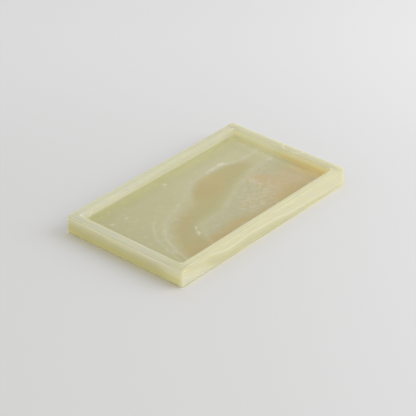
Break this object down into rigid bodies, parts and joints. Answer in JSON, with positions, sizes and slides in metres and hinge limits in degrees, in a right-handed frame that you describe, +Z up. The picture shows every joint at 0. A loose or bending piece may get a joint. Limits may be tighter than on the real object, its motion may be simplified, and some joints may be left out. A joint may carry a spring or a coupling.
{
  "type": "catchall tray",
  "caption": "Low rectangular catchall tray cut from one block of pale green banded onyx, with a flat rim, a shallow coved well and thin felt pads let into its underside.",
  "frame": {"origin": "under the middle of the tray, on the surface that its pads stand on", "axes": "+X along the tray's length, to the right seen from the front; +Y from the front long side to the rear one; +Z up"},
  "size_m": [0.2, 0.12, 0.0152],
  "materials": {
    "onyx": "polished",
    "felt": "matte"
  },
  "bodies": {
    "root": {"tray_body": "onyx", "foot_pad_front_left": "felt", "foot_pad_front_right": "felt", "foot_pad_rear_left": "felt", "foot_pad_rear_right": "felt"}
  },
  "joints": []
}
